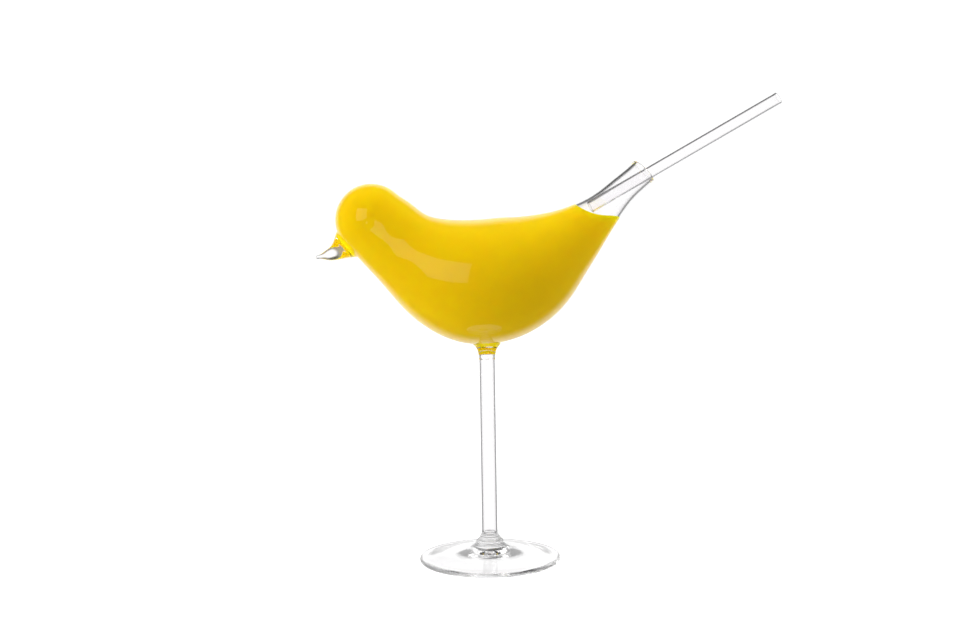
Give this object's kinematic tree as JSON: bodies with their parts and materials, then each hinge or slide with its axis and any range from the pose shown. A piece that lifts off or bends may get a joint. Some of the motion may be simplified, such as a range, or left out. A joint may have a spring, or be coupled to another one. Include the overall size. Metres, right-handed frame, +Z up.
{
  "type": "drinking bird",
  "caption": "Bird-shaped blown drinking glass on a hollow stem and round foot, full of opaque drink, with a glass straw leaning in its open tail.",
  "frame": {"origin": "centre of the foot on the table, on the stem's axis", "axes": "+X from the head towards the tail and the straw, +Y to the bird's right side, +Z up along the stem"},
  "size_m": [0.225, 0.068, 0.223],
  "materials": {
    "clear_glass": "clear borosilicate glass, flame polished, colourless",
    "straw_glass": "clear drawn glass tube with fire-polished ends",
    "yellow_drink": "opaque bright yellow liquid"
  },
  "bodies": {
    "glass": {"bird_bowl": "clear_glass", "beak": "clear_glass", "left_eye": "clear_glass", "right_eye": "clear_glass", "stem_collar": "clear_glass", "stem": "clear_glass", "foot_collar": "clear_glass", "foot": "clear_glass", "drink": "yellow_drink"},
    "straw": {"drinking_straw": "straw_glass"}
  },
  "joints": [
    {"name": "straw_slide", "type": "slide", "parent": "glass", "child": "straw", "axis": [0.8729, 0, 0.4879], "range_m": [-0.055, 0.045], "deforming": ["drink"]}
  ]
}
